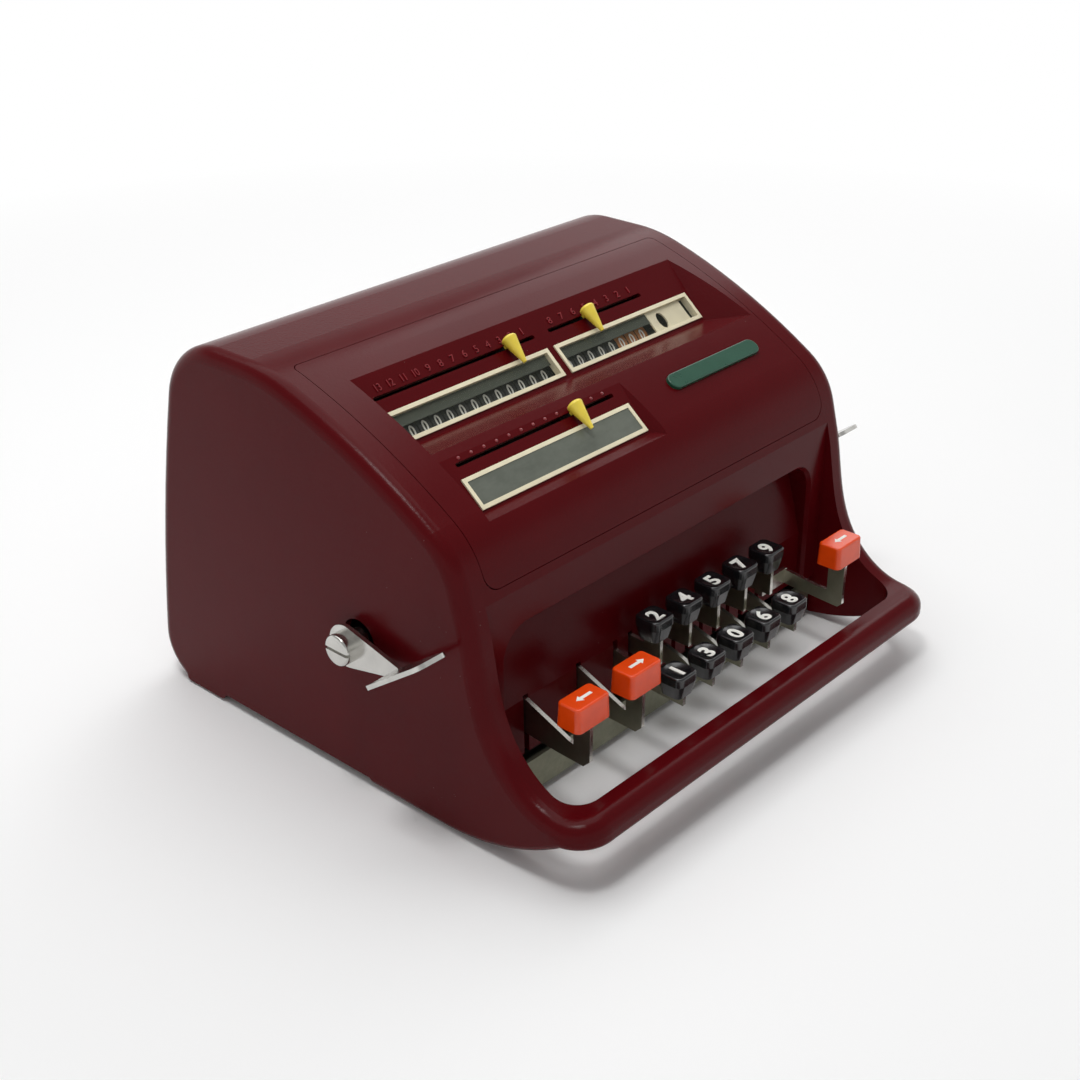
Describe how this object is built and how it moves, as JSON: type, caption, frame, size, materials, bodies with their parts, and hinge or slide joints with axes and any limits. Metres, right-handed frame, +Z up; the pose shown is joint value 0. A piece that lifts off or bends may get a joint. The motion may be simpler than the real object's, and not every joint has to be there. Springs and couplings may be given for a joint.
{
  "type": "pinwheel calculator",
  "caption": "Hand-cranked desk pinwheel calculator: curved metal body with a hand bar, key well, windows with pointers, side levers and a crank.",
  "frame": {"origin": "middle of the overall box on the table plane, under the feet", "axes": "+X to the operator's right, towards the crank; +Y away from the operator; +Z up"},
  "size_m": [0.3404, 0.2416, 0.163],
  "materials": {
    "body_paint": "semi-matt fine wrinkle",
    "key_black": "glossy",
    "key_red": "glossy",
    "nickel": "polished",
    "lever_steel": "dull plated",
    "olive_steel": "semi-matt",
    "steel": "machined",
    "foot_rubber": "matt",
    "ivory": "satin",
    "pointer_yellow": "glossy",
    "badge_green": "gloss enamel",
    "clear_glass": "clear, lightly dusty",
    "wheel_metal": "satin",
    "rotor_brass": "machined",
    "handle_black": "glossy"
  },
  "bodies": {
    "chassis": {"housing": "body_paint", "top_panel": "body_paint", "name_badge": "badge_green", "window_frame_product": "ivory", "window_frame_counter": "ivory", "window_frame_setting": "ivory", "window_glasses": "clear_glass", "counter_mask": "ivory", "pointer_rails": "steel", "base_plate": "olive_steel", "front_crossbar": "olive_steel", "rubber_feet": "foot_rubber", "case_screws": "steel", "frame_side_left": "olive_steel", "frame_side_right": "olive_steel", "key_comb": "olive_steel", "key_pivot_rod": "steel", "key_return_springs": "steel", "register_shafts": "steel"},
    "key_2": {"key_cap_2": "key_black", "key_lever_2": "lever_steel"},
    "key_4": {"key_cap_4": "key_black", "key_lever_4": "lever_steel"},
    "key_5": {"key_cap_5": "key_black", "key_lever_5": "lever_steel"},
    "key_7": {"key_cap_7": "key_black", "key_lever_7": "lever_steel"},
    "key_9": {"key_cap_9": "key_black", "key_lever_9": "lever_steel"},
    "key_1": {"key_cap_1": "key_black", "key_lever_1": "lever_steel"},
    "key_3": {"key_cap_3": "key_black", "key_lever_3": "lever_steel"},
    "key_0": {"key_cap_0": "key_black", "key_lever_0": "lever_steel"},
    "key_6": {"key_cap_6": "key_black", "key_lever_6": "lever_steel"},
    "key_8": {"key_cap_8": "key_black", "key_lever_8": "lever_steel"},
    "key_tab_left": {"key_cap_tab_left": "key_red", "key_lever_tab_left": "lever_steel"},
    "key_tab_right": {"key_cap_tab_right": "key_red", "key_lever_tab_right": "lever_steel"},
    "key_return": {"key_cap_return": "key_red", "key_lever_return": "lever_steel"},
    "pointer_product": {"pointer_product": "pointer_yellow"},
    "pointer_counter": {"pointer_counter": "pointer_yellow"},
    "pointer_setting": {"pointer_setting": "pointer_yellow"},
    "clear_left": {"clear_lever_left": "nickel", "lever_screw_left": "nickel"},
    "clear_right": {"clear_lever_right": "nickel", "lever_screw_right": "nickel"},
    "rotor": {"rotor_shaft": "steel", "pinwheel_rotor": "rotor_brass", "crank_arm": "nickel"},
    "handle": {"crank_handle": "handle_black"},
    "product_register": {"product_wheels": "wheel_metal"},
    "counter_register": {"counter_wheels": "wheel_metal"},
    "setting_register": {"setting_wheels": "wheel_metal"}
  },
  "joints": [
    {"name": "key_2_press", "type": "hinge", "parent": "chassis", "child": "key_2", "pos_m": [-0.05075, 0.0107, 0.044], "axis": [1, 0, 0], "range_deg": [0, 3], "stiffness_Nm_per_rad": 1.5, "springref_deg": -3.44},
    {"name": "key_4_press", "type": "hinge", "parent": "chassis", "child": "key_4", "pos_m": [-0.03165, 0.0107, 0.044], "axis": [1, 0, 0], "range_deg": [0, 3], "stiffness_Nm_per_rad": 1.5, "springref_deg": -3.44},
    {"name": "key_5_press", "type": "hinge", "parent": "chassis", "child": "key_5", "pos_m": [-0.01255, 0.0107, 0.044], "axis": [1, 0, 0], "range_deg": [0, 3], "stiffness_Nm_per_rad": 1.5, "springref_deg": -3.44},
    {"name": "key_7_press", "type": "hinge", "parent": "chassis", "child": "key_7", "pos_m": [0.00655, 0.0107, 0.044], "axis": [1, 0, 0], "range_deg": [0, 3], "stiffness_Nm_per_rad": 1.5, "springref_deg": -3.44},
    {"name": "key_9_press", "type": "hinge", "parent": "chassis", "child": "key_9", "pos_m": [0.02565, 0.0107, 0.044], "axis": [1, 0, 0], "range_deg": [0, 3], "stiffness_Nm_per_rad": 1.5, "springref_deg": -3.44},
    {"name": "key_1_press", "type": "hinge", "parent": "chassis", "child": "key_1", "pos_m": [-0.0603, 0.0107, 0.044], "axis": [1, 0, 0], "range_deg": [0, 3], "stiffness_Nm_per_rad": 1.5, "springref_deg": -3.44},
    {"name": "key_3_press", "type": "hinge", "parent": "chassis", "child": "key_3", "pos_m": [-0.0412, 0.0107, 0.044], "axis": [1, 0, 0], "range_deg": [0, 3], "stiffness_Nm_per_rad": 1.5, "springref_deg": -3.44},
    {"name": "key_0_press", "type": "hinge", "parent": "chassis", "child": "key_0", "pos_m": [-0.0221, 0.0107, 0.044], "axis": [1, 0, 0], "range_deg": [0, 3], "stiffness_Nm_per_rad": 1.5, "springref_deg": -3.44},
    {"name": "key_6_press", "type": "hinge", "parent": "chassis", "child": "key_6", "pos_m": [-0.003, 0.0107, 0.044], "axis": [1, 0, 0], "range_deg": [0, 3], "stiffness_Nm_per_rad": 1.5, "springref_deg": -3.44},
    {"name": "key_8_press", "type": "hinge", "parent": "chassis", "child": "key_8", "pos_m": [0.0161, 0.0107, 0.044], "axis": [1, 0, 0], "range_deg": [0, 3], "stiffness_Nm_per_rad": 1.5, "springref_deg": -3.44},
    {"name": "key_tab_left_press", "type": "hinge", "parent": "chassis", "child": "key_tab_left", "pos_m": [-0.11345, 0.0107, 0.044], "axis": [1, 0, 0], "range_deg": [0, 3], "stiffness_Nm_per_rad": 1.5, "springref_deg": -3.44},
    {"name": "key_tab_right_press", "type": "hinge", "parent": "chassis", "child": "key_tab_right", "pos_m": [-0.08275, 0.0107, 0.044], "axis": [1, 0, 0], "range_deg": [0, 3], "stiffness_Nm_per_rad": 1.5, "springref_deg": -3.44},
    {"name": "key_return_press", "type": "hinge", "parent": "chassis", "child": "key_return", "pos_m": [0.03775, 0.0107, 0.044], "axis": [1, 0, 0], "range_deg": [0, 3], "stiffness_Nm_per_rad": 1.5, "springref_deg": -3.44},
    {"name": "pointer_product_slide", "type": "slide", "parent": "chassis", "child": "pointer_product", "axis": [1, 0, 0], "range_m": [-0.0697, 0.0144]},
    {"name": "pointer_counter_slide", "type": "slide", "parent": "chassis", "child": "pointer_counter", "axis": [1, 0, 0], "range_m": [-0.0209, 0.0342]},
    {"name": "pointer_setting_slide", "type": "slide", "parent": "chassis", "child": "pointer_setting", "axis": [1, 0, 0], "range_m": [-0.0612, 0.0208]},
    {"name": "clear_left_pull", "type": "hinge", "parent": "chassis", "child": "clear_left", "pos_m": [-0.15525, -0.0088, 0.0672], "axis": [1, 0, 0], "range_deg": [0, 50]},
    {"name": "clear_right_pull", "type": "hinge", "parent": "chassis", "child": "clear_right", "pos_m": [0.09675, -0.0088, 0.0672], "axis": [1, 0, 0], "range_deg": [0, 50]},
    {"name": "crank_turn", "type": "hinge", "parent": "chassis", "child": "rotor", "pos_m": [-0.02925, 0.0227, 0.084], "axis": [1, 0, 0], "continuous": true},
    {"name": "handle_spin", "type": "hinge", "parent": "rotor", "child": "handle", "pos_m": [0.14075, 0.0227, 0.022], "axis": [1, 0, 0], "continuous": true},
    {"name": "product_register_turn", "type": "hinge", "parent": "chassis", "child": "product_register", "pos_m": [-0.07325, 0.00966, 0.12915], "axis": [1, 0, 0], "continuous": true},
    {"name": "counter_register_turn", "type": "hinge", "parent": "chassis", "child": "counter_register", "pos_m": [0.00675, 0.00966, 0.12915], "axis": [1, 0, 0], "continuous": true},
    {"name": "setting_register_turn", "type": "hinge", "parent": "chassis", "child": "setting_register", "pos_m": [-0.07225, -0.03198, 0.11643], "axis": [1, 0, 0], "continuous": true}
  ]
}
